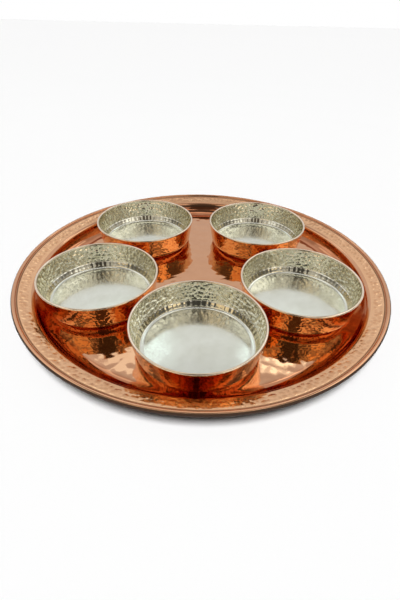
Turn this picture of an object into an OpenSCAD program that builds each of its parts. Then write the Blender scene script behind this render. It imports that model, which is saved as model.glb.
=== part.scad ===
// Round hammered copper tray with a rolled, wired rim, and five tin-lined copper bowls standing on its floor.
// The origin is the centre of the tray's underside, on the table. +Z is up and the front of the set faces -Y.
// The tray is sized by the ring of bowls: its floor, cove, rim band and bead follow one another outwards.

/* [Bowls] */
// Diameter of each bowl over its rim
bowl_rim_d = 123.5; // [100:0.5:150]
// Height of each bowl from its foot to the rim
bowl_h = 30.3; // [24:0.1:45]
// Diameter of the flat part of each bowl's bottom
bowl_flat_d = 98; // [80:0.5:110]
// Outside radius of the corner between a bowl's bottom and its wall
bowl_corner_r = 9; // [4:0.5:12]
// Thickness of the bowls' copper sheet
bowl_sheet = 1; // [0.8:0.05:1.4]
// Thickness of the tin lining inside each bowl
tin_coat = 0.25; // [0.2:0.05:0.4]

/* [Bowl places] */
// Least gap between two neighbouring bowls
bowl_gap = 0.6; // [0.4:0.1:6]
// Gap under each bowl's flat bottom, which stands on the high spots of the hammered floor
seat_gap = 0.3; // [0.1:0.05:0.5]
// Bearing of the front bowl about the tray's centre
front_bearing = -91; // [-95:0.5:-85]
// Bearing of the left bowl
left_bearing = -159.4; // [-164:0.2:-154]
// Bearing of the right bowl
right_bearing = -22.6; // [-27:0.2:-17]
// Bearing of the back left bowl
back_left_bearing = 130.6; // [125:0.2:135]
// Bearing of the back right bowl
back_right_bearing = 51; // [47:0.5:57]
// How far the front bowl stands outside the ring that all the bowls reach
front_stray = 1; // [0:0.5:6]
// How far the left bowl stands outside that ring
left_stray = 3.5; // [0:0.5:6]
// How far the right bowl stands outside that ring
right_stray = 0; // [0:0.5:6]
// How far the back left bowl stands outside that ring
back_left_stray = 4.5; // [0:0.5:6]
// How far the back right bowl stands outside that ring
back_right_stray = 2; // [0:0.5:6]

/* [Tray] */
// Thickness of the tray's copper sheet
tray_sheet = 1; // [0.8:0.05:1.4]
// Flat floor left outside the bottom of the outermost bowl
floor_margin = 0.5; // [0.3:0.1:10]
// Radius of the cove between the floor and the rim band, on the upper face
cove_r = 15; // [12:0.5:22]
// Angle that the cove turns up through
cove_turn = 72; // [60:1:85]
// Upper face radius of the brow where the cove turns out into the rim band
brow_r = 6; // [1.5:0.1:8]
// Width of the hammered rim band along its slope, from the brow to the bead
band_w = 13.5; // [10:0.5:26]
// Slope of the rim band, rising outwards
band_slope = 16.5; // [5:0.5:25]
// Least clearance in plan between the widest part of a bowl and the top of the cove
rim_clearance = 0.5; // [0.3:0.1:6]

/* [Rolled rim] */
// Diameter of the wire inside the rolled rim
wire_d = 2.2; // [1.6:0.1:4]
// Clearance all round the wire inside the roll
wire_clearance = 0.1; // [0.05:0.01:0.2]
// Open seam between the roll's cut edge and the underside of the rim band
seam_gap = 0.3; // [0.2:0.05:0.5]

/* [Hidden] */
$fn = 180;
arc_step = 6;
copper = "peru";
tin = "silver";
steel = "dimgray";

// Bowl profile: a straight wall that runs from the rim into the round corner without a step
bowl_rim_r = bowl_rim_d / 2;
bowl_flat_r = bowl_flat_d / 2;
bowl_widest_r = max(bowl_rim_r, bowl_flat_r + bowl_corner_r);
corner_to_rim = [bowl_rim_r - bowl_flat_r, bowl_h - bowl_corner_r];
wall_angle = atan2(corner_to_rim.y, corner_to_rim.x) + asin(bowl_corner_r / norm(corner_to_rim));

// Ring of bowls: neighbours keep the gap at the closest pair of bearings
bearings = [front_bearing, right_bearing, back_right_bearing, back_left_bearing, left_bearing + 360];
pitches = [for (i = [0:len(bearings) - 1]) i == 0
    ? bearings[0] + 360 - bearings[len(bearings) - 1]
    : bearings[i] - bearings[i - 1]];
ring_r = (bowl_widest_r + bowl_gap / 2) / sin(min(pitches) / 2);
outer_place_r = ring_r + max(front_stray, left_stray, right_stray, back_left_stray, back_right_stray);

// Tray: the floor takes every bowl's flat bottom, and the top of the cove clears every bowl in plan
cove_w = cove_r * sin(cove_turn);
corner_excess = max(0, bowl_corner_r - cove_r);
floor_r = max(outer_place_r + bowl_flat_r + corner_excess + floor_margin,
    outer_place_r + bowl_widest_r + rim_clearance - cove_w);
cove_centre = [floor_r, tray_sheet + cove_r];
brow_centre = cove_centre + (cove_r + brow_r) * [sin(cove_turn), -cos(cove_turn)];

// Rolled rim: the middle of the band's sheet points at the wire
hole_r = wire_d / 2 + wire_clearance;
bead_r = hole_r + tray_sheet;
band_half = tray_sheet / 2;
band_reach = band_w + sqrt(pow(bead_r, 2) - pow(band_half, 2));
bead_centre = brow_centre + (brow_r - band_half) * [-sin(band_slope), cos(band_slope)]
    + band_reach * [cos(band_slope), sin(band_slope)];

// Bearings about the wire: where the band's upper and lower faces meet the roll, and the roll's cut edge
groove_angle = band_slope + 180 - asin(band_half / bead_r);
tuck_angle = band_slope + 180 + asin(band_half / hole_r);
cut_angle = tuck_angle - 360 + seam_gap / hole_r * 180 / PI;

// Points of an arc from one angle to another
function arc(centre, r, from, to) = let (steps = ceil(abs(to - from) / arc_step))
    [for (i = [0:steps]) let (a = from + (to - from) * i / steps) centre + r * [cos(a), sin(a)]];

function reversed(points) = [for (i = [len(points) - 1:-1:0]) points[i]];

// Face of the tray's sheet from the axis out to the rim band, at a depth below the upper face
function tray_face(depth) = concat(
    [[0, tray_sheet - depth]],
    arc(cove_centre, cove_r + depth, -90, cove_turn - 90),
    arc(brow_centre, brow_r - depth, cove_turn + 90, band_slope + 90));

// Edge of the tray's sheet: over the wire, under it to the cut edge, and back round the hole
function roll() = concat(
    arc(bead_centre, bead_r, groove_angle, cut_angle),
    arc(bead_centre, hole_r, cut_angle, tuck_angle));

// Face of a bowl from the axis up to its level rim, at a depth in from the outside
function bowl_face(depth) = concat(
    [[0, depth]],
    arc([bowl_flat_r, bowl_corner_r], bowl_corner_r - depth, -90, wall_angle - 90),
    [[bowl_rim_r - depth / sin(wall_angle), bowl_h]]);

// One layer of a bowl, between two depths
module bowl_layer(from, to) rotate_extrude() polygon(concat(bowl_face(from), reversed(bowl_face(to))));

// Stands its children on the tray's floor, at a distance and bearing from the tray's centre
module stand_at(stray, bearing) {
    distance = ring_r + stray;
    translate([distance * cos(bearing), distance * sin(bearing), tray_sheet + seat_gap]) children();
}

module bowl_shell() color(copper) bowl_layer(0, bowl_sheet);

module bowl_lining() color(tin) bowl_layer(bowl_sheet, bowl_sheet + tin_coat);

module tray_pan() color(copper)
    rotate_extrude() polygon(concat(tray_face(0), roll(), reversed(tray_face(tray_sheet))));

module rim_wire() color(steel) rotate_extrude() translate(bead_centre) circle(d = wire_d);

module front_bowl() stand_at(front_stray, front_bearing) bowl_shell();
module left_bowl() stand_at(left_stray, left_bearing) bowl_shell();
module right_bowl() stand_at(right_stray, right_bearing) bowl_shell();
module back_left_bowl() stand_at(back_left_stray, back_left_bearing) bowl_shell();
module back_right_bowl() stand_at(back_right_stray, back_right_bearing) bowl_shell();

module front_lining() stand_at(front_stray, front_bearing) bowl_lining();
module left_lining() stand_at(left_stray, left_bearing) bowl_lining();
module right_lining() stand_at(right_stray, right_bearing) bowl_lining();
module back_left_lining() stand_at(back_left_stray, back_left_bearing) bowl_lining();
module back_right_lining() stand_at(back_right_stray, back_right_bearing) bowl_lining();

tray_pan();
rim_wire();
front_bowl();
left_bowl();
right_bowl();
back_left_bowl();
back_right_bowl();
front_lining();
left_lining();
right_lining();
back_left_lining();
back_right_lining();
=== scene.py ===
"""Looks of a hammered copper tray with five tin-lined copper bowls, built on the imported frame.

Sections are drawn in millimetres as (radius, height) and turned about an upright axis.
Blender's own units are metres.
"""
import math

import bpy
import numpy as np
from mathutils import Matrix, Vector


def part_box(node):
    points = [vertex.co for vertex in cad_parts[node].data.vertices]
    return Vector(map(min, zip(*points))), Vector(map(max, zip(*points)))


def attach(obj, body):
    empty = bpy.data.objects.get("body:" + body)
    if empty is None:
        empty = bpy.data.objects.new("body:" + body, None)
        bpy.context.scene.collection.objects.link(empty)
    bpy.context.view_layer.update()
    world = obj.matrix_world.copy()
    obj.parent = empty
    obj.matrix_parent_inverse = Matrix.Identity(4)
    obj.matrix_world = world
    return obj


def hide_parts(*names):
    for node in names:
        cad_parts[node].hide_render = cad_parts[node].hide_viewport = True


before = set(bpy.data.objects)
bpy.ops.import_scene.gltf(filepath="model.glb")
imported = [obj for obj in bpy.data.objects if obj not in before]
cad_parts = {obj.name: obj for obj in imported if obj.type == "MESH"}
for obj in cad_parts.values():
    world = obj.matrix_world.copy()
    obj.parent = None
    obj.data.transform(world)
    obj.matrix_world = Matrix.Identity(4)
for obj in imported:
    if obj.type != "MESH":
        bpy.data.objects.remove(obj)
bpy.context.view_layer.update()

MM = 0.001

# Sizes of the sheet metal in millimetres and degrees, which agree with the part's source
TRAY_SHEET = 1.0
COVE_R = 15.0
COVE_TURN = 72.0
BROW_R = 6.0
BAND_W = 13.5
BAND_SLOPE = 16.5
WIRE_D = 2.2
WIRE_CLEARANCE = 0.1
SEAM_GAP = 0.3
BOWL_FLAT_R = 49.0
BOWL_CORNER_R = 9.0
BOWL_SHEET = 1.0
TIN_COAT = 0.25
BOWLS = ("front", "left", "right", "back_left", "back_right")

# Groove beside the tray's bead and the ridge that it throws up, in millimetres
GROOVE_W = 1.5
GROOVE_DEPTH = 0.7
RIDGE_W = 0.9
RIDGE_H = 0.1

# The tin's lip over a bowl's rim and the low dome of its wiped bottom, in millimetres
TIN_LIP_H = 1.2
TIN_LIP_W = 2.4
BOTTOM_RISE = 0.9
# Flat that the scallops are cut in: from a rise above the wall's foot, in millimetres, to a turn into the
# corner, in degrees
SCALLOP_RISE = 0.2
SCALLOP_TURN = 47.0

# Hammer marks: pitch round the axis, pitch along the section and depth, in millimetres
BAND_MARK = (4.3, 4.2, 0.42)
COVE_MARK = (11.0, 8.0, 0.05)
FLOOR_MARK = (10.0, 10.0, 0.26)
SHELL_MARK = (3.1, 2.7, 0.2)
LINING_MARK = (4.4, 4.0, 0.6)
SCALLOP_MARK = (6.6, 8.4, 0.6)
BOTTOM_MARK = (14.0, 14.0, 0.05)
# How far the edges of a lining's marks stand out of its wall, in millimetres
LINING_PROUD = 0.4
# Scatter of the marks: in place, as a share of the pitch, and in depth, as a share of the depth
MARK_SCATTER = (0.75, 0.5)
SCALLOP_SCATTER = (0.15, 0.15)
# How fast a mark gets shallower with the square of the distance from its middle
MARK_STEEPNESS = 1.5
# Count of marks after which the scatter repeats
MARK_CYCLE = 64
# Seeds of the scatter. Each bowl has its own hundred
BAND_SEED = 11
COVE_SEED = 12
FLOOR_SEED = 13
BOWL_SEEDS = 100
LINING_SEED = 50

# Lengths over which the marks die out at the start and the end of a stretch, in millimetres
BAND_FADES = (0.5, 4.0)
COVE_FADES = (4.0, 4.0)
SHELL_CORNER_FADES = (5.0, 0.01)
SHELL_WALL_FADES = (0.01, 0.8)
LINING_WALL_FADES = (0.8, 1.0)
SCALLOP_FADES = (1.0, 1.0)

# Scale of finishes that the materials read, from ruddy metal to a dull underside. The dull end is painted
# shade, a dark coat under the rim, and the groove's place between satin and dull paints shade in the groove
RUDDY, POLISHED, SATIN, GROOVE_SHADE, DULL_SHADED = -1.0, 0.0, 1.0, 1.6, 2.0
# Bearing about the wire, in degrees, above which the bead is polished bright and below which it is painted
# dark as shade
BEAD_SHADE_TO = 58.0

# Points round the turned meshes. Each of the tray's counts is a multiple of its next, and so for the bowls
TRAY_BAND_COUNT = 1680
TRAY_COUNT = 560
TRAY_INNER_COUNT = 280
TRAY_CORE_COUNT = 70
BOWL_COUNT = 630
BOWL_INNER_COUNT = 315
BOWL_CORE_COUNT = 63
# Radii inside which the tray's floor and the linings' bottoms have fewer points round, in millimetres
FLOOR_MIDDLE_R = 110.0
FLOOR_CORE_R = 26.0
LINING_CORE_R = 12.0
# A ring this close to the axis, in millimetres, is one point
AXIS_REACH = 1e-6

# Distances between points along the tray's section, in millimetres
UNDER_FLOOR_STEP = 60.0
UNDER_COVE_STEP = 2.5
UNDER_BROW_STEP = 1.2
UNDER_BAND_STEP = 4.0
ROLL_HOLE_STEP = 0.8
ROLL_UNDER_STEP = 0.75
BEAD_STEP = 0.6
GROOVE_STEP = 0.25
RIDGE_STEP = 0.35
BAND_STEP = 0.75
BROW_STEP = 0.5
COVE_STEP = 1.4
FLOOR_STEP = 1.8
FLOOR_CORE_STEP = 2.2

# Distances between points along the bowls' and linings' sections, in millimetres
SHELL_BOTTOM_STEP = 9.0
SHELL_CORNER_STEP = 0.75
WALL_STEP = 0.65
RIM_STEP = 1.0
HIDDEN_WALL_STEP = 6.0
HIDDEN_CORNER_STEP = 2.0
HIDDEN_BOTTOM_STEP = 12.0
SCALLOP_STEP = 0.55
LINING_CORNER_STEP = 0.6
LINING_BOTTOM_STEP = 1.8
LINING_CORE_STEP = 2.0
# The same over the tin's lip, as a share of its half width
LIP_STEP = 0.3

# Noise in the metal: clouds and specks per metre, and the ranges of values that are put to use
CLOUD_SCALE = 45.0
CLOUD_DETAIL = 3.0
CLOUD_RANGE = (0.35, 0.7)
SPECK_SCALE = 420.0
SPECK_DETAIL = 4.0
SPECK_RANGE = (0.3, 0.7)
NOISE_ROUGHNESS = 0.6
# How far clouds and hammer marks take up a metal's hollow shade, and how far specks change its roughness
CLOUD_SHARE = 0.25
MARK_RANGE = (0.3, 0.9)
MARK_SHARE = 0.65
POLISH_SPREAD = (0.7, 1.3)
SCRATCH_DEPTH = 0.08 * MM
# Dark coat that paints shade under the rim, on the bead's lower half and part way in the groove, and the
# specular level of that coat
SHADE_COAT = (0.05, 0.026, 0.016)
SHADE_COAT_SPECULAR = 0.2
# Sockets of Blender's Mix node for each kind of value: first, second and result
MIX_SOCKETS = {"FLOAT": (2, 3, 0), "RGBA": (6, 7, 2)}

# Camera of the photograph: 400 by 600 pixels, lens in pixels, place in metres, turns in degrees
IMAGE_LONG_SIDE = 600
SENSOR_MM = 36.0
FOCAL_PIXELS = 360.93
CAMERA_PLACE = (-0.00084, -0.34864, 0.23984)
CAMERA_PITCH = 38.076
CAMERA_ROLL = 1.367
CLIP_START = 0.01

# Studio: lengths in metres, angles in degrees, light levels as a share of white
FLOOR_SIDE = 40.0
FLOOR_COLOUR = (0.97, 0.97, 0.97)
FLOOR_ROUGHNESS = 0.9
LAMP_STRENGTH = 1.04
LAMP_WIDTH = 24.0
LAMP_TILT = 21.0
FILL_LEVEL = 0.06
WHITE = (1, 1, 1)
# What metal sees of the surround behind the tray and in front: levels by the sine of the elevation
BACK_LEVELS = ((0.0, 0.55), (0.3, 0.66), (0.45, 0.74), (0.72, 0.78),
               (0.82, 0.56), (0.9, 0.55), (1.0, 0.35))
FRONT_LEVELS = ((0.0, 0.08), (0.4, 0.13), (0.52, 0.555), (0.66, 0.555), (0.82, 0.14), (1.0, 0.11))
# Backward parts of a direction between which the front surround turns into the back one
FRONT_EDGE, BACK_EDGE = 0.0, 0.45
FRONT_TINT = (1.0, 0.93, 0.84)
# Cards that only reflections show: name, place, size, colour and level
REFLECTED_CARDS = (
    ("left_soft_light", (-1.1, 0.1, 1.2), (2.2, 0.5), (1, 0.98, 0.94), 1.02),
    ("right_soft_light", (1.1, 0.05, 1.15), (2.2, 0.45), (1, 0.98, 0.94), 1.4),
    ("back_left_lamp", (-0.38, 1.05, 1.2), (0.34, 0.26), (0.89, 1, 1), 1.3),
    ("back_right_lamp", (0.46, 1.05, 1.27), (0.26, 0.2), (0.88, 1, 1), 1.3),
    ("back_right_bulb", (0.455, 1.03, 1.245), (0.13, 0.11), (0.9, 1, 1), 2.3),
    ("top_left_light", (-0.42, -0.62, 1.3), (0.56, 0.44), (1, 0.8, 0.58), 1.0),
    ("top_right_light", (0.42, -0.62, 1.3), (0.56, 0.44), (1, 0.93, 0.84), 1.08),
    ("top_light", (0, 0.36, 1.45), (1.2, 0.5), (1, 0.98, 0.94), 1.1),
    ("front_left_light", (-0.72, -0.9, 0.3), (0.66, 0.44), (1, 0.78, 0.5), 0.95),
    ("front_right_light", (0.8, -0.9, 0.3), (0.52, 0.42), (1, 0.82, 0.56), 1.3),
    ("front_table", (0, -1.2, 0.19), (1.8, 0.2), (1, 0.75, 0.5), 0.65),
    ("photographer", (0, -0.66, 0.66), (0.3, 0.52), (0.09, 0.07, 0.053), 1.0),
    ("camera_stand", (0, -0.46, 0.2), (0.24, 0.23), (0.06, 0.056, 0.05), 1.0),
)

# Bounces of light between bright metal faces
MAX_BOUNCES = 16
GLOSSY_BOUNCES = 12


def at_bearing(centre, radius, angle):
    """Point at a distance and a bearing, in degrees, from a centre."""
    turn = math.radians(angle)
    return centre + radius * np.array([math.cos(turn), math.sin(turn)])


def arc(centre, radius, start, end, step):
    """Points along an arc, about a step apart, and their directions from the centre.

    The angles are in degrees.
    """
    count = max(2, math.ceil(abs(math.radians(end - start)) * radius / step) + 1)
    angles = np.radians(np.linspace(start, end, count))
    ways = np.stack([np.cos(angles), np.sin(angles)], axis=1)
    return np.asarray(centre) + radius * ways, ways


def straight(start, end, step):
    """Points along a line, about a step apart, and the direction to the right of the way along it."""
    start = np.asarray(start, float)
    end = np.asarray(end, float)
    length = np.hypot(*(end - start))
    count = max(2, math.ceil(length / step) + 1)
    way = (end - start) / length
    normal = np.array([way[1], -way[0]])
    return np.linspace(start, end, count), np.tile(normal, (count, 1))


def lip(outer, width, height):
    """Points over a rounded lip, from its outer foot to its inner foot, and the ways that they face."""
    points, ways = arc((0, 0), 1, 0, 180, LIP_STEP)
    half = width / 2
    return outer - [half, 0] + points * [half, height], ways


def plain(theta, along, radius):
    """Relief of a surface with no marks.

    A relief gives, for each point, its height above the section and how deep in a mark it lies.
    """
    none = np.zeros(np.broadcast(theta, along).shape)
    return none, none


def mark_depth(u, v, columns, seed, scatter):
    """Depth, from 0 to 1, of overlapping round marks, one in each cell of a staggered grid.

    u and v count cells. u wraps after the columns and v after the cycle, which no section here reaches.
    """
    jitter, unevenness = scatter
    cells = (columns, MARK_CYCLE)
    rng = np.random.default_rng(seed)
    place_u = 0.5 + jitter * (rng.random(cells) - 0.5)
    place_v = 0.5 + jitter * (rng.random(cells) - 0.5)
    strength = 1 - unevenness * rng.random(cells)
    cell_u = np.floor(u).astype(int)
    cell_v = np.floor(v).astype(int)
    depth = np.zeros(np.broadcast(u, v).shape)
    for dv in (-1, 0, 1):
        row = cell_v + dv
        stagger = 0.5 * (row % 2)
        for du in (-2, -1, 0, 1):
            column = cell_u + du
            at = (column % columns, row % MARK_CYCLE)
            off_u = column + place_u[at] + stagger - u
            off_v = row + place_v[at] - v
            depth = np.maximum(depth, strength[at] - MARK_STEEPNESS * (off_u ** 2 + off_v ** 2))
    return depth


def ring_marks(mark, mean_radius, seed, first=0.0, scatter=MARK_SCATTER):
    """Relief of rows of hammer marks round the axis.

    The first row starts at a distance along the section.
    """
    pitch, row_pitch, depth = mark
    columns = round(math.tau * mean_radius / pitch)

    def relief(theta, along, radius):
        u = theta / math.tau * columns
        v = (along - first) / row_pitch
        marks = mark_depth(u, v, columns, seed, scatter)
        return -depth * marks, marks
    return relief


def plane_marks(mark, seed):
    """Relief of hammer marks spread over a flat face, without rows round the axis and no darker than it."""
    pitch_x, pitch_y, depth = mark

    def relief(theta, along, radius):
        x = radius * np.cos(theta) / pitch_x
        y = radius * np.sin(theta) / pitch_y
        marks = mark_depth(x, y, MARK_CYCLE, seed, MARK_SCATTER)
        return -depth * marks, np.zeros(marks.shape)
    return relief


def swell(width, height):
    """Relief of one smooth ridge round the axis, or of a groove where the height is below zero."""
    def relief(theta, along, radius):
        rise = height * np.sin(math.pi * along / width) ** 2
        # A groove counts as a full mark, so its tone takes the hollow shade as painted shade.
        return rise, np.full(rise.shape, 1.0 if height < 0 else 0.0)
    return relief


def ramp(x, end):
    """0 at and before 0, 1 after the end, and smooth between them."""
    t = np.clip(x / end, 0, 1)
    return t * t * (3 - 2 * t)


def faded(relief, length, fades):
    """A relief that dies out at the start and the end of its stretch."""
    fade_in, fade_out = fades

    def result(theta, along, radius):
        height, marks = relief(theta, along, radius)
        share = ramp(along, fade_in) * ramp(length - along, fade_out)
        return height * share, marks * share
    return result


def raised(relief, rise):
    """A relief moved outwards by a rise."""
    def result(theta, along, radius):
        height, marks = relief(theta, along, radius)
        return height + rise, marks
    return result


def domed(relief, rise, edge):
    """A relief on a low dome that dies out at an edge radius."""
    def result(theta, along, radius):
        height, marks = relief(theta, along, radius)
        return height + rise * (1 - (radius / edge) ** 2), marks
    return result


class Section:
    """A half section, from the axis round to the axis again, kept as rings of points."""

    def __init__(self):
        self.rings = []
        self.marks = []
        self.finishes = []
        self.counts = []

    def add(self, line, count, relief=plain, side=1, skip_first=True, finish=POLISHED):
        """Adds a stretch of points: its count round the axis, its relief and the side of that, its finish.

        The first point is skipped, because the stretch before ends there or beside it.
        """
        points, normals = line
        gaps = np.hypot(*np.diff(points, axis=0).T)
        along = np.concatenate([[0], np.cumsum(gaps)])
        first = 1 if skip_first and self.rings else 0
        for point, normal, place in list(zip(points, side * normals, along))[first:]:
            on_axis = point[0] < AXIS_REACH
            ring_count = 1 if on_axis else count
            theta = np.arange(ring_count) * math.tau / ring_count
            height, marks = relief(theta, np.full(ring_count, place), np.full(ring_count, point[0]))
            radius = np.zeros(1) if on_axis else point[0] + height * normal[0]
            level = point[1] + height * normal[1]
            ring = np.stack([radius * np.cos(theta), radius * np.sin(theta), level], axis=1)
            self.rings.append(ring)
            self.marks.append(marks)
            self.finishes.append(np.full(ring_count, finish))
            self.counts.append(ring_count)

    def faces(self):
        """Triangles and quads between neighbouring rings, facing out of the metal."""
        starts = np.concatenate([[0], np.cumsum(self.counts)])
        faces = []
        for i in range(len(self.counts) - 1):
            faces += ring_faces(starts[i], self.counts[i], starts[i + 1], self.counts[i + 1])
        return faces


def ring_faces(first, count, other, other_count):
    """Faces between two rings of points. One ring's count is a multiple of the other's."""
    if count == other_count:
        here = np.arange(count)
        after = (here + 1) % count
        return np.stack([first + here, first + after, other + after, other + here], axis=1).tolist()
    fine, coarse = max(count, other_count), min(count, other_count)
    ratio = fine // coarse
    fine_start, coarse_start = (first, other) if count > other_count else (other, first)
    turned = count < other_count
    faces = []
    for j in range(coarse):
        corner = coarse_start + j
        for k in range(ratio):
            a = fine_start + j * ratio + k
            b = fine_start + (j * ratio + k + 1) % fine
            faces.append([b, a, corner] if turned else [a, b, corner])
        if coarse > 1:
            end = fine_start + (j + 1) * ratio % fine
            after = coarse_start + (j + 1) % coarse
            faces.append([end, corner, after] if turned else [end, after, corner])
    return faces


def turned_piece(name, section, place, body, node, material):
    """Makes a section into a piece that stands for a CAD node and rides on a body."""
    points = np.concatenate(section.rings) * MM
    mesh = bpy.data.meshes.new(name)
    mesh.from_pydata(points.tolist(), [], section.faces())
    mesh.polygons.foreach_set("use_smooth", np.ones(len(mesh.polygons), bool))
    for attribute, values in (("mark", section.marks), ("finish", section.finishes)):
        kept = mesh.attributes.new(attribute, "FLOAT", "POINT")
        kept.data.foreach_set("value", np.concatenate(values).astype(np.float32))
    mesh.materials.append(material)
    mesh.validate()
    piece = bpy.data.objects.new(name, mesh)
    bpy.context.scene.collection.objects.link(piece)
    piece.location = place
    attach(piece, body)
    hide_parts(node)


class TrayShape:
    """Radii, centres and bearings of the tray's section, from its outer radius."""

    def __init__(self, outer_r):
        half = TRAY_SHEET / 2
        turn = math.radians(COVE_TURN)
        slope = math.radians(BAND_SLOPE)
        self.hole_r = WIRE_D / 2 + WIRE_CLEARANCE
        self.bead_r = self.hole_r + TRAY_SHEET
        self.band_way = np.array([math.cos(slope), math.sin(slope)])
        self.band_up = np.array([-math.sin(slope), math.cos(slope)])
        to_brow = (COVE_R + BROW_R) * np.array([math.sin(turn), -math.cos(turn)])
        band_reach = BAND_W + math.sqrt(self.bead_r ** 2 - half ** 2)
        to_bead = to_brow + (BROW_R - half) * self.band_up + band_reach * self.band_way
        self.floor_r = outer_r - self.bead_r - to_bead[0]
        self.cove_centre = np.array([self.floor_r, TRAY_SHEET + COVE_R])
        self.brow_centre = self.cove_centre + to_brow
        self.bead_centre = self.cove_centre + to_bead
        # Bearings about the wire: the band's upper and lower faces, and the roll's cut edge
        self.groove_bearing = BAND_SLOPE + 180 - math.degrees(math.asin(half / self.bead_r))
        self.tuck_bearing = BAND_SLOPE + 180 + math.degrees(math.asin(half / self.hole_r))
        self.cut_bearing = self.tuck_bearing - 360 + math.degrees(SEAM_GAP / self.hole_r)


def tray_section(tray):
    """Section of the tray's sheet: the underside out to the roll, round the wire, and back over the top."""
    section = Section()
    add_tray_underside(section, tray)
    add_tray_roll(section, tray)
    add_tray_band(section, tray)
    add_tray_inside(section, tray)
    return section


def add_tray_underside(section, tray):
    """Underside of the floor, the cove, the brow and the rim band, dull and painted dark as shade."""
    brow_r = BROW_R - TRAY_SHEET
    band_start = tray.brow_centre + brow_r * tray.band_up
    band_end = at_bearing(tray.bead_centre, tray.hole_r, tray.tuck_bearing)
    floor = straight((0, 0), (tray.floor_r, 0), UNDER_FLOOR_STEP)
    cove = arc(tray.cove_centre, COVE_R + TRAY_SHEET, -90, COVE_TURN - 90, UNDER_COVE_STEP)
    brow = arc(tray.brow_centre, brow_r, COVE_TURN + 90, BAND_SLOPE + 90, UNDER_BROW_STEP)
    band = straight(band_start, band_end, UNDER_BAND_STEP)
    # The whole underside is painted dark as shade.
    for line in (floor, cove, brow, band):
        section.add(line, TRAY_INNER_COUNT, finish=DULL_SHADED)


def add_tray_roll(section, tray):
    """Edge rolled round the wire: its hole and its lower half from the cut edge, dull and painted dark as
    shade, and its bright top.
    """
    hole = arc(tray.bead_centre, tray.hole_r, tray.tuck_bearing, tray.cut_bearing, ROLL_HOLE_STEP)
    under = arc(tray.bead_centre, tray.bead_r, tray.cut_bearing, BEAD_SHADE_TO, ROLL_UNDER_STEP)
    bead = arc(tray.bead_centre, tray.bead_r, BEAD_SHADE_TO, tray.groove_bearing, BEAD_STEP)
    # The hole and the bead's lower half are painted dark as shade; the top is polished.
    section.add(hole, TRAY_INNER_COUNT, finish=DULL_SHADED)
    section.add(under, TRAY_COUNT, skip_first=False, finish=DULL_SHADED)
    section.add(bead, TRAY_COUNT)


def add_tray_band(section, tray):
    """Top of the rim band from the bead inwards: a groove painted dark as shade, a ridge and the hammered
    slope.
    """
    groove_start = at_bearing(tray.bead_centre, tray.bead_r, tray.groove_bearing)
    ridge_start = groove_start - GROOVE_W * tray.band_way
    slope_start = ridge_start - RIDGE_W * tray.band_way
    slope_end = tray.brow_centre + BROW_R * tray.band_up
    groove = straight(groove_start, ridge_start, GROOVE_STEP)
    ridge = straight(ridge_start, slope_start, RIDGE_STEP)
    slope = straight(slope_start, slope_end, BAND_STEP)
    marks = ring_marks(BAND_MARK, tray.bead_centre[0] - BAND_W / 2, BAND_SEED)
    marked_relief = faded(marks, BAND_W - GROOVE_W - RIDGE_W, BAND_FADES)
    # The groove's finish and its full mark paint shade in it.
    section.add(groove, TRAY_COUNT, swell(GROOVE_W, -GROOVE_DEPTH), side=-1, finish=GROOVE_SHADE)
    section.add(ridge, TRAY_COUNT, swell(RIDGE_W, RIDGE_H), side=-1, finish=SATIN)
    section.add(slope, TRAY_BAND_COUNT, marked_relief, side=-1, finish=SATIN)


def add_tray_inside(section, tray):
    """Inside of the tray: the bright brow, the ruddy cove and the planished floor."""
    brow = arc(tray.brow_centre, BROW_R, BAND_SLOPE + 90, COVE_TURN + 90, BROW_STEP)
    cove = arc(tray.cove_centre, COVE_R, COVE_TURN - 90, -90, COVE_STEP)
    cove_marks = ring_marks(COVE_MARK, tray.floor_r + COVE_R / 2, COVE_SEED)
    cove_relief = faded(cove_marks, math.radians(COVE_TURN) * COVE_R, COVE_FADES)
    edge, middle, core = ((radius, TRAY_SHEET) for radius in (tray.floor_r, FLOOR_MIDDLE_R, FLOOR_CORE_R))
    floor_relief = plane_marks(FLOOR_MARK, FLOOR_SEED)
    section.add(brow, TRAY_COUNT)
    section.add(cove, TRAY_COUNT, cove_relief, side=-1, finish=RUDDY)
    section.add(straight(edge, middle, FLOOR_STEP), TRAY_COUNT, floor_relief, side=-1)
    section.add(straight(middle, core, FLOOR_STEP), TRAY_INNER_COUNT, floor_relief, side=-1)
    section.add(straight(core, (0, TRAY_SHEET), FLOOR_CORE_STEP), TRAY_CORE_COUNT, floor_relief, side=-1)


class BowlShape:
    """Place, radii, height and wall angle of a bowl, from its CAD box."""

    def __init__(self, node):
        low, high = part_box(node)
        self.place = ((low.x + high.x) / 2, (low.y + high.y) / 2, low.z)
        self.rim_r = (high.x - low.x) / 2 / MM
        self.height = (high.z - low.z) / MM
        self.corner = np.array([BOWL_FLAT_R, BOWL_CORNER_R])
        run = self.rim_r - BOWL_FLAT_R
        rise = self.height - BOWL_CORNER_R
        corner_angle = math.asin(BOWL_CORNER_R / math.hypot(run, rise))
        self.wall_angle = math.degrees(math.atan2(rise, run) + corner_angle)
        # Bearing from the corner's centre at which the round corner meets the wall
        self.wall_bearing = self.wall_angle - 90

    def wall_top(self, depth, drop):
        """Point of the face at a depth in from the outside, a drop below the rim."""
        angle = math.radians(self.wall_angle)
        inset = depth / math.sin(angle) + drop / math.tan(angle)
        return np.array([self.rim_r - inset, self.height - drop])

    def wall_foot(self, depth):
        """Point where the face at a depth leaves the round corner."""
        return at_bearing(self.corner, BOWL_CORNER_R - depth, self.wall_bearing)


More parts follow.
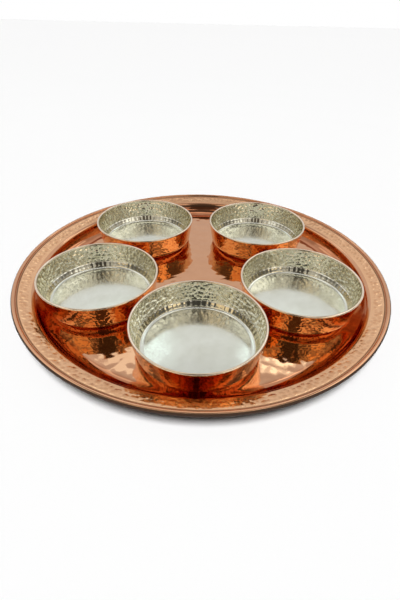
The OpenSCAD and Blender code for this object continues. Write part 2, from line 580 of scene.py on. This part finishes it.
def shell_section(bowl, seed):
    """Section of a bowl's copper: its hammered outside, its rim under the tin's lip, and the inside."""
    foot = bowl.wall_foot(0)
    top = bowl.wall_top(0, TIN_LIP_H)
    inner_top = bowl.wall_top(BOWL_SHEET, TIN_LIP_H)
    inner_r = BOWL_CORNER_R - BOWL_SHEET
    bottom = straight((0, 0), (BOWL_FLAT_R, 0), SHELL_BOTTOM_STEP)
    corner = arc(bowl.corner, BOWL_CORNER_R, -90, bowl.wall_bearing, SHELL_CORNER_STEP)
    wall = straight(foot, top, WALL_STEP)
    rim = straight(top, inner_top, RIM_STEP)
    inner_wall = straight(inner_top, bowl.wall_foot(BOWL_SHEET), HIDDEN_WALL_STEP)
    inner_corner = arc(bowl.corner, inner_r, bowl.wall_bearing, -90, HIDDEN_CORNER_STEP)
    inner_bottom = straight((BOWL_FLAT_R, BOWL_SHEET), (0, BOWL_SHEET), HIDDEN_BOTTOM_STEP)
    corner_length = math.radians(bowl.wall_angle) * BOWL_CORNER_R
    wall_length = math.hypot(*(top - foot))
    corner_marks = ring_marks(SHELL_MARK, bowl.rim_r, seed, first=corner_length)
    wall_marks = ring_marks(SHELL_MARK, bowl.rim_r, seed)

    section = Section()
    section.add(bottom, BOWL_CORE_COUNT, finish=SATIN)
    section.add(corner, BOWL_COUNT, faded(corner_marks, corner_length, SHELL_CORNER_FADES))
    section.add(wall, BOWL_COUNT, faded(wall_marks, wall_length, SHELL_WALL_FADES))
    section.add(rim, BOWL_INNER_COUNT)
    section.add(inner_wall, BOWL_INNER_COUNT)
    section.add(inner_corner, BOWL_INNER_COUNT)
    section.add(inner_bottom, BOWL_CORE_COUNT)
    return section


def lining_section(bowl, seed):
    """Section of a bowl's tin: the face on the copper, the lip over its rim, and the hammered inside."""
    section = Section()
    add_lining_back(section, bowl)
    add_lining_inside(section, bowl, seed)
    return section


def add_lining_back(section, bowl):
    """Face of the tin on the copper, and the lip over the bowl's rim."""
    inner_top = bowl.wall_top(BOWL_SHEET, TIN_LIP_H)
    outer_top = bowl.wall_top(0, TIN_LIP_H)
    inner_r = BOWL_CORNER_R - BOWL_SHEET
    bottom = straight((0, BOWL_SHEET), (BOWL_FLAT_R, BOWL_SHEET), HIDDEN_BOTTOM_STEP)
    corner = arc(bowl.corner, inner_r, -90, bowl.wall_bearing, HIDDEN_CORNER_STEP)
    wall = straight(bowl.wall_foot(BOWL_SHEET), inner_top, HIDDEN_WALL_STEP)
    rim = straight(inner_top, outer_top, RIM_STEP)
    section.add(bottom, BOWL_CORE_COUNT)
    section.add(corner, BOWL_INNER_COUNT)
    section.add(wall, BOWL_INNER_COUNT)
    section.add(rim, BOWL_INNER_COUNT)
    section.add(lip(outer_top, TIN_LIP_W, TIN_LIP_H), BOWL_INNER_COUNT, finish=RUDDY)


def add_lining_inside(section, bowl, seed):
    """Inside of the tin: the hammered wall, a row of scallops, the round corner and the wiped bottom."""
    depth = BOWL_SHEET + TIN_COAT
    corner_r = BOWL_CORNER_R - depth
    wall_top = bowl.wall_top(depth, TIN_LIP_H)
    scallop_drop = bowl.height - bowl.wall_foot(depth)[1] - SCALLOP_RISE
    scallop_top = bowl.wall_top(depth, scallop_drop)
    scallop_bearing = bowl.wall_bearing - SCALLOP_TURN
    scallop_foot = at_bearing(bowl.corner, corner_r, scallop_bearing)
    wall = straight(wall_top, scallop_top, WALL_STEP)
    flat = straight(scallop_top, scallop_foot, SCALLOP_STEP)
    corner = arc(bowl.corner, corner_r, scallop_bearing, -90, LINING_CORNER_STEP)
    bottom = straight((BOWL_FLAT_R, depth), (LINING_CORE_R, depth), LINING_BOTTOM_STEP)
    core = straight((LINING_CORE_R, depth), (0, depth), LINING_CORE_STEP)

    wall_length = math.hypot(*(wall_top - scallop_top))
    wall_marks = raised(ring_marks(LINING_MARK, bowl.rim_r, seed), LINING_PROUD)
    flat_length = math.hypot(*(scallop_foot - scallop_top))
    _, scallop_height, scallop_depth = SCALLOP_MARK
    scallops = ring_marks(SCALLOP_MARK, BOWL_FLAT_R + corner_r, seed + 1,
                          first=(flat_length - scallop_height) / 2, scatter=SCALLOP_SCATTER)
    flat_relief = faded(raised(scallops, scallop_depth), flat_length, SCALLOP_FADES)
    bottom_relief = domed(plane_marks(BOTTOM_MARK, seed + 2), BOTTOM_RISE, BOWL_FLAT_R)

    section.add(wall, BOWL_COUNT, faded(wall_marks, wall_length, LINING_WALL_FADES))
    section.add(flat, BOWL_COUNT, flat_relief)
    section.add(corner, BOWL_COUNT, finish=SATIN)
    section.add(bottom, BOWL_INNER_COUNT, bottom_relief, finish=SATIN)
    section.add(core, BOWL_CORE_COUNT, bottom_relief, finish=SATIN)


def rgba(colour):
    """A colour with full cover."""
    return (*colour, 1)


class Nodes:
    """Short calls for a node tree."""

    def __init__(self, tree):
        self.tree = tree
        tree.nodes.clear()

    def new(self, kind, settings=None, **sockets):
        """A node with its settings, and with sockets set to values or linked from other sockets."""
        node = self.tree.nodes.new(kind)
        for name, value in (settings or {}).items():
            setattr(node, name, value)
        for name, value in sockets.items():
            self.put(node.inputs[name.replace("_", " ")], value)
        return node

    def put(self, socket, value):
        """Sets a socket, or links it."""
        if isinstance(value, bpy.types.NodeSocket):
            self.tree.links.new(value, socket)
        else:
            socket.default_value = value

    def mix(self, kind, share, first, second, blend="MIX"):
        """A share of the way from one value or colour to another."""
        node = self.new("ShaderNodeMix", {"data_type": kind, "blend_type": blend}, Factor=share)
        first_socket, second_socket, result = MIX_SOCKETS[kind]
        self.put(node.inputs[first_socket], first)
        self.put(node.inputs[second_socket], second)
        return node.outputs[result]

    def darken(self, share, colour, shade):
        """A colour multiplied by a share of a shade."""
        return self.mix("RGBA", share, colour, rgba(shade), blend="MULTIPLY")

    def scale(self, value, source, target):
        """A value moved from one range to another, and kept within it."""
        node = self.new("ShaderNodeMapRange", Value=value)
        for name, number in zip(("From Min", "From Max", "To Min", "To Max"), (*source, *target)):
            node.inputs[name].default_value = number
        return node.outputs["Result"]

    def calculate(self, operation, first, second):
        """The result of an operation on two values."""
        node = self.new("ShaderNodeMath", {"operation": operation})
        self.put(node.inputs[0], first)
        self.put(node.inputs[1], second)
        return node.outputs[0]

    def levels(self, value, stops):
        """A value read off a graded scale. The stops are pairs of place and level."""
        graded = self.new("ShaderNodeValToRGB", Fac=value)
        elements = graded.color_ramp.elements
        while len(elements) < len(stops):
            elements.new(1.0)
        for element, (place, level) in zip(elements, stops):
            element.position = place
            element.color = rgba((level, level, level))
        return graded.outputs["Color"]

    def noise(self, vector, scale, detail):
        """A noise value."""
        node = self.new("ShaderNodeTexNoise", Vector=vector, Scale=scale, Detail=detail,
                        Roughness=NOISE_ROUGHNESS)
        return node.outputs[0]

    def attribute(self, name):
        """A value kept in the mesh at each point."""
        return self.new("ShaderNodeAttribute", {"attribute_name": name}).outputs["Fac"]


def new_material(name):
    """A material with an empty node tree and its output."""
    material = bpy.data.materials.new(name)
    material.use_nodes = True
    nodes = Nodes(material.node_tree)
    return material, nodes, nodes.new("ShaderNodeOutputMaterial")


def metal(name, finishes, hollow, scratch):
    """Hand-worked metal: clouded tones, darker in the hammer marks, with scratches and uneven polish.

    The finishes are rows of a place on the finish scale, a tone and a roughness, in order.
    """
    material, nodes, output = new_material(name)
    place = nodes.new("ShaderNodeTexCoord").outputs["Object"]
    clouds = nodes.noise(place, CLOUD_SCALE, CLOUD_DETAIL)
    specks = nodes.noise(place, SPECK_SCALE, SPECK_DETAIL)
    mark = nodes.attribute("mark")
    finish = nodes.attribute("finish")
    reached, first_tone, polish = finishes[0]
    tone = rgba(first_tone)
    for next_finish, next_tone, next_polish in finishes[1:]:
        share = nodes.scale(finish, (reached, next_finish), (0, 1))
        tone = nodes.mix("RGBA", share, tone, rgba(next_tone))
        polish = nodes.mix("FLOAT", share, polish, next_polish)
        reached = next_finish
    tone = nodes.darken(nodes.scale(clouds, CLOUD_RANGE, (0, CLOUD_SHARE)), tone, hollow)
    tone = nodes.darken(nodes.scale(mark, MARK_RANGE, (0, MARK_SHARE)), tone, hollow)
    polish = nodes.calculate("MULTIPLY", polish, nodes.scale(specks, SPECK_RANGE, POLISH_SPREAD))
    # Where a scale ends at the dull finish, the metal gives way toward the dark coat of painted shade.
    bare = nodes.scale(finish, (SATIN, DULL_SHADED), (1, 0)) if reached == DULL_SHADED else 1.0
    bump = nodes.new("ShaderNodeBump", Height=specks, Strength=scratch, Distance=SCRATCH_DEPTH)
    shader = nodes.new("ShaderNodeBsdfPrincipled", Base_Color=tone, Metallic=bare, Roughness=polish,
                       Specular_IOR_Level=SHADE_COAT_SPECULAR, Normal=bump.outputs["Normal"])
    nodes.put(output.inputs["Surface"], shader.outputs["BSDF"])
    return material


def tray_copper():
    """The tray's copper: ruddy in the cove, bright on the floor, pale on the hammered band, dull and painted
    dark as shade below and part way in the groove.
    """
    finishes = (
        (RUDDY, (0.62, 0.265, 0.14), 0.06),
        (POLISHED, (0.745, 0.402, 0.236), 0.06),
        (SATIN, (0.92, 0.545, 0.315), 0.17),
        # The dark coat of painted shade under the rim.
        (DULL_SHADED, SHADE_COAT, 0.6),
    )
    return metal("tray_copper", finishes, hollow=(0.77, 0.65, 0.56), scratch=0.1)


def bowl_copper():
    """The bowls' copper: golden and bright on the wall, satin under the bottom."""
    finishes = (
        (POLISHED, (0.93, 0.555, 0.235), 0.07),
        (SATIN, (0.8, 0.44, 0.24), 0.2),
    )
    return metal("bowl_copper", finishes, hollow=(0.72, 0.43, 0.31), scratch=0.1)


def bowl_tin():
    """The bowls' tin: worn to the copper on the lip, bright on the hammered wall, satin where it is wiped."""
    finishes = (
        (RUDDY, (0.95, 0.8, 0.64), 0.12),
        (POLISHED, (0.94, 0.926, 0.82), 0.07),
        (SATIN, (0.86, 0.87, 0.785), 0.18),
    )
    return metal("bowl_tin", finishes, hollow=(0.66, 0.64, 0.54), scratch=0.12)


def rim_steel():
    """The plain drawn wire in the tray's rim."""
    finishes = ((POLISHED, (0.42, 0.42, 0.43), 0.35),)
    return metal("rim_steel", finishes, hollow=(0.7, 0.69, 0.67), scratch=0.2)


def build_tray():
    """The tray, with steel on the wire, which keeps its CAD mesh."""
    low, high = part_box("tray_pan")
    outer_r = min(-low.x, high.x, -low.y, high.y) / MM
    section = tray_section(TrayShape(outer_r))
    turned_piece("hammered_tray", section, (0, 0, 0), "tray", "tray_pan", tray_copper())
    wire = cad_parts["rim_wire"]
    wire.data.materials.clear()
    wire.data.materials.append(rim_steel())


def build_bowl(name, seed, copper, tin):
    """A bowl and its lining, which ride on the bowl's own body."""
    bowl = BowlShape(f"{name}_bowl")
    body = f"bowl_{name}"
    shell = shell_section(bowl, seed)
    lining = lining_section(bowl, seed + LINING_SEED)
    turned_piece(f"{name}_hammered_bowl", shell, bowl.place, body, f"{name}_bowl", copper)
    turned_piece(f"{name}_tin_lining", lining, bowl.place, body, f"{name}_lining", tin)


def build_object():
    """The tray and the five bowls with their linings, each in place of its CAD node."""
    build_tray()
    copper = bowl_copper()
    tin = bowl_tin()
    for number, name in enumerate(BOWLS, start=1):
        build_bowl(name, number * BOWL_SEEDS, copper, tin)


def add_camera():
    """The photograph's camera: no shift, looking down at the front of the tray."""
    data = bpy.data.cameras.new("camera")
    data.sensor_width = SENSOR_MM
    data.lens = FOCAL_PIXELS / IMAGE_LONG_SIDE * SENSOR_MM
    data.clip_start = CLIP_START
    camera = bpy.data.objects.new("camera", data)
    bpy.context.scene.collection.objects.link(camera)
    pitch = Matrix.Rotation(math.radians(90 - CAMERA_PITCH), 4, "X")
    roll = Matrix.Rotation(math.radians(CAMERA_ROLL), 4, "Z")
    camera.matrix_world = Matrix.Translation(CAMERA_PLACE) @ pitch @ roll
    bpy.context.scene.camera = camera


def add_card(name, place, size, facing, material):
    """A flat card of the studio, whose face looks along a direction."""
    x, y = size[0] / 2, size[1] / 2
    corners = [(-x, -y, 0), (x, -y, 0), (x, y, 0), (-x, y, 0)]
    mesh = bpy.data.meshes.new(name)
    mesh.from_pydata(corners, [], [(0, 1, 2, 3)])
    mesh.materials.append(material)
    card = bpy.data.objects.new(name, mesh)
    bpy.context.scene.collection.objects.link(card)
    turn = Vector(facing).to_track_quat("Z", "Y").to_matrix().to_4x4()
    card.matrix_world = Matrix.Translation(place) @ turn
    return card


def add_floor():
    """A matt white floor."""
    material, nodes, output = new_material("floor_white")
    shader = nodes.new("ShaderNodeBsdfPrincipled", Base_Color=rgba(FLOOR_COLOUR), Roughness=FLOOR_ROUGHNESS)
    nodes.put(output.inputs["Surface"], shader.outputs["BSDF"])
    add_card("studio_floor", (0, 0, 0), (FLOOR_SIDE, FLOOR_SIDE), (0, 0, 1), material)


def add_lamp():
    """A soft lamp overhead, even over the whole floor. It makes the shadow under the rim."""
    data = bpy.data.lights.new("overhead_lamp", "SUN")
    data.energy = LAMP_STRENGTH * math.pi
    data.angle = math.radians(LAMP_WIDTH)
    lamp = bpy.data.objects.new("overhead_lamp", data)
    bpy.context.scene.collection.objects.link(lamp)
    lamp.rotation_euler = (math.radians(LAMP_TILT), 0, 0)
    lamp.visible_glossy = False


def glow(name, colour, strength):
    """A colour that reflections show at a set brightness."""
    material, nodes, output = new_material(name)
    shader = nodes.new("ShaderNodeEmission", Color=rgba(colour), Strength=strength)
    nodes.put(output.inputs["Surface"], shader.outputs["Emission"])
    return material


def add_reflected_cards():
    """Cards that only reflections show: soft lights, lamps, a table, and a dark figure with its stand."""
    for name, place, size, colour, strength in REFLECTED_CARDS:
        card = add_card(name, place, size, -Vector(place), glow(name, colour, strength))
        card.visible_camera = False
        card.visible_diffuse = False
        card.visible_shadow = False


def add_world():
    """A white backdrop for the camera, graded for metal, and a weak fill for matt surfaces.

    Metal sees it brighter behind the tray than in front.
    """
    world = bpy.data.worlds.new("surround")
    bpy.context.scene.world = world
    world.use_nodes = True
    nodes = Nodes(world.node_tree)
    way = nodes.new("ShaderNodeTexCoord").outputs["Generated"]
    parts = nodes.new("ShaderNodeSeparateXYZ", Vector=way).outputs
    behind = nodes.scale(parts["Y"], (FRONT_EDGE, BACK_EDGE), (0, 1))
    front = nodes.levels(parts["Z"], FRONT_LEVELS)
    back = nodes.levels(parts["Z"], BACK_LEVELS)
    path = nodes.new("ShaderNodeLightPath").outputs
    mirrored = nodes.calculate("MAXIMUM", path["Is Glossy Ray"], path["Is Transmission Ray"])
    strength = nodes.mix("FLOAT", mirrored, FILL_LEVEL, nodes.mix("FLOAT", behind, front, back))
    strength = nodes.calculate("MAXIMUM", strength, path["Is Camera Ray"])
    mirrored_tint = nodes.mix("RGBA", behind, rgba(FRONT_TINT), rgba(WHITE))
    tint = nodes.mix("RGBA", mirrored, rgba(WHITE), mirrored_tint)
    backdrop = nodes.new("ShaderNodeBackground", Color=tint, Strength=strength)
    nodes.new("ShaderNodeOutputWorld", Surface=backdrop.outputs["Background"])


def set_render():
    """Plain colours, and enough bounces for metal that mirrors metal."""
    scene = bpy.context.scene
    scene.view_settings.view_transform = "Standard"
    scene.cycles.max_bounces = MAX_BOUNCES
    scene.cycles.glossy_bounces = GLOSSY_BOUNCES


set_render()
add_camera()
build_object()
add_floor()
add_lamp()
add_reflected_cards()
add_world()
